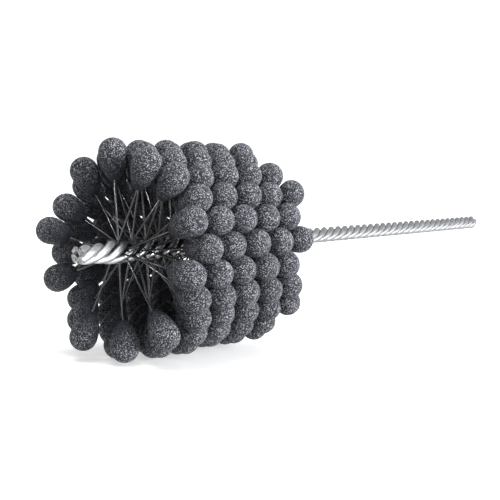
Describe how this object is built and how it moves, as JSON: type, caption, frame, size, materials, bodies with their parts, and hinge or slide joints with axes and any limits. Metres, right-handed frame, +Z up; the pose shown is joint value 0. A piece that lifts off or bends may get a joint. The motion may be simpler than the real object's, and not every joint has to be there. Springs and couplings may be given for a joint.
{
  "type": "flexible ball hone",
  "caption": "Flexible ball hone: round abrasive globules on nylon filaments all round a stem of twisted steel wires, with a plain twisted shank for a drill chuck.",
  "frame": {"origin": "on the spin axis, in the plane of the shank's cut end", "axes": "+X along the spin axis from the shank end to the working tip, +Z up as the hone lies in the picture"},
  "size_m": [0.343, 0.09, 0.0902],
  "materials": {
    "wire": "satin",
    "filament": "satin",
    "globule": "matte"
  },
  "bodies": {
    "stem": {"stem_wire_1": "wire", "stem_wire_2": "wire", "stem_wire_3": "wire", "stem_wire_4": "wire", "filaments_01": "filament", "filaments_02": "filament", "filaments_03": "filament", "filaments_04": "filament", "filaments_05": "filament", "filaments_06": "filament", "filaments_07": "filament", "filaments_08": "filament", "filaments_09": "filament", "filaments_10": "filament", "filaments_11": "filament", "filaments_12": "filament", "filaments_13": "filament", "filaments_14": "filament", "filaments_15": "filament"},
    "globules": {"globules_01": "globule", "globules_02": "globule", "globules_03": "globule", "globules_04": "globule", "globules_05": "globule", "globules_06": "globule", "globules_07": "globule", "globules_08": "globule", "globules_09": "globule", "globules_10": "globule", "globules_11": "globule", "globules_12": "globule", "globules_13": "globule", "globules_14": "globule", "globules_15": "globule", "globules_16": "globule", "globules_17": "globule", "globules_18": "globule", "globules_19": "globule", "globules_20": "globule", "globules_21": "globule", "globules_22": "globule", "globules_23": "globule", "globules_24": "globule", "globules_25": "globule", "globules_26": "globule", "globules_27": "globule", "globules_28": "globule", "globules_29": "globule", "globules_30": "globule"}
  },
  "joints": [
    {"name": "globule_lag", "type": "hinge", "parent": "stem", "child": "globules", "pos_m": [0.28459, 0, 0], "axis": [1, 0, 0], "range_deg": [-12, 12], "stiffness_Nm_per_rad": 0.82, "deforming": ["filaments_01", "filaments_02", "filaments_03", "filaments_04", "filaments_05", "filaments_06", "filaments_07", "filaments_08", "filaments_09", "filaments_10", "filaments_11", "filaments_12", "filaments_13", "filaments_14", "filaments_15"]}
  ]
}
